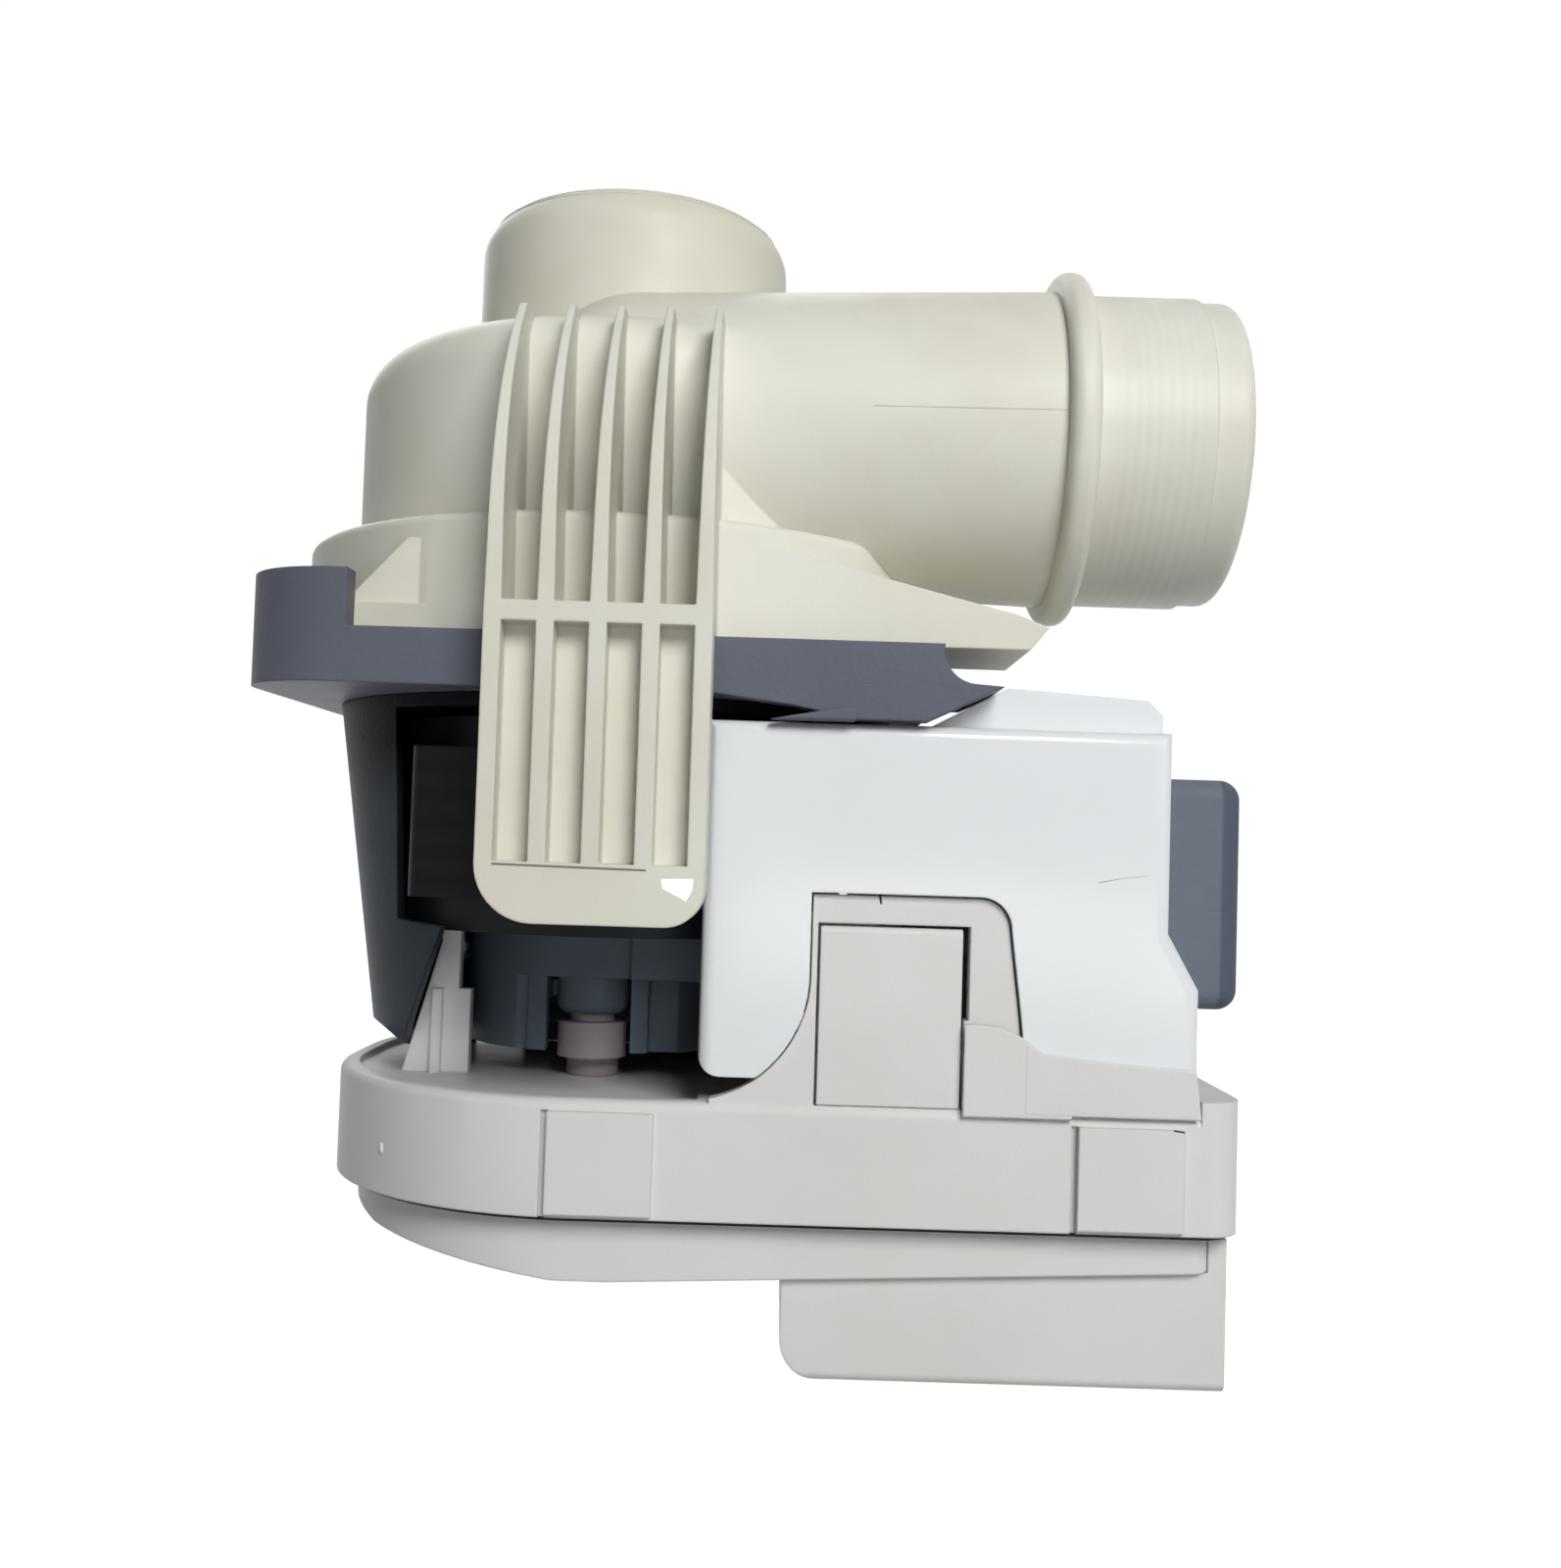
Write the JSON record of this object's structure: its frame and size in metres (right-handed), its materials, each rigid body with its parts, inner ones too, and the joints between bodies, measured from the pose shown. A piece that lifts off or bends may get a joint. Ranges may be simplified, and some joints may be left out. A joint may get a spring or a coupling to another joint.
{
  "type": "dishwasher pump",
  "caption": "Canned-rotor dishwasher pump with a top inlet spigot, a side outlet spigot, an open motor shell and an electronics box below.",
  "frame": {"origin": "on the pump axis, in the middle of the straight band that the inlet spigot leaves free above the outlet", "axes": "+Z out of the inlet along the pump axis, +X out of the outlet spigot, -Y towards the side with the moulded tongue"},
  "size_m": [0.1145, 0.0852, 0.1363],
  "materials": {
    "volute_plastic": "moulded glass-filled plastic, cream, slightly glossy",
    "seal_rubber": "black rubber, satin",
    "flange_plastic": "moulded blue-grey plastic, satin",
    "shell_plastic": "moulded dark slate plastic, satin",
    "can_plastic": "moulded black plastic",
    "carbon": "pressed carbon graphite",
    "stainless": "ground stainless steel",
    "magnet": "plastic-bonded ferrite",
    "lamination": "varnished electrical steel",
    "insulator_plastic": "moulded black plastic",
    "enamel_wire": "enamelled copper",
    "foot_rubber": "grey-pink rubber",
    "white_plastic": "moulded white plastic, glossy",
    "box_plastic": "moulded light grey plastic, satin",
    "impeller_plastic": "moulded natural plastic",
    "board": "green circuit board",
    "tin": "tinned brass",
    "capacitor_sleeve": "black plastic sleeve",
    "ferrite": "grey ferrite",
    "part_plastic": "yellow moulded case",
    "chip_plastic": "black epoxy",
    "aluminium": "plain aluminium",
    "glass": "clear glass",
    "damper_rubber": "dark slate rubber, satin"
  },
  "bodies": {
    "pump": {"volute_housing": "volute_plastic", "volute_seal": "seal_rubber", "motor_flange": "flange_plastic", "motor_shell": "shell_plastic", "separating_can": "can_plastic", "front_bearing_carrier": "can_plastic", "front_bearing": "carbon", "rear_bearing_carrier": "seal_rubber", "rear_bearing": "carbon", "stator_stack": "lamination", "upper_insulator": "insulator_plastic", "lower_insulator": "insulator_plastic", "stator_coils": "enamel_wire", "stator_screws": "stainless", "end_shield": "shell_plastic", "rubber_foot": "foot_rubber", "support_legs": "white_plastic", "phase_terminals": "tin", "terminal_cover": "white_plastic", "control_box_lid": "box_plastic", "control_box_base": "box_plastic", "box_seal": "seal_rubber", "power_pins": "tin", "signal_pins": "tin", "connector_housing": "box_plastic", "circuit_board": "board", "smoothing_capacitors": "capacitor_sleeve", "mains_choke": "ferrite", "film_capacitor": "part_plastic", "power_module": "chip_plastic", "controller_chip": "chip_plastic", "bridge_rectifier": "chip_plastic", "mains_fuse": "glass", "heat_spreader": "aluminium", "pad_holder": "flange_plastic", "damper_pad": "damper_rubber"},
    "rotor": {"impeller": "impeller_plastic", "shaft": "stainless", "rotor_magnet": "magnet", "rotor_core": "lamination", "thrust_washer": "stainless"},
    "latch": {"release_latch": "box_plastic"}
  },
  "joints": [
    {"name": "rotor_spin", "type": "hinge", "parent": "pump", "child": "rotor", "pos_m": [0, 0, -0.0466], "axis": [0, 0, 1], "continuous": true},
    {"name": "latch_flex", "type": "hinge", "parent": "pump", "child": "latch", "pos_m": [0.03335, -0.0362, -0.09772], "axis": [1, 0, 0], "range_deg": [0, 5], "stiffness_Nm_per_rad": 0.6}
  ]
}
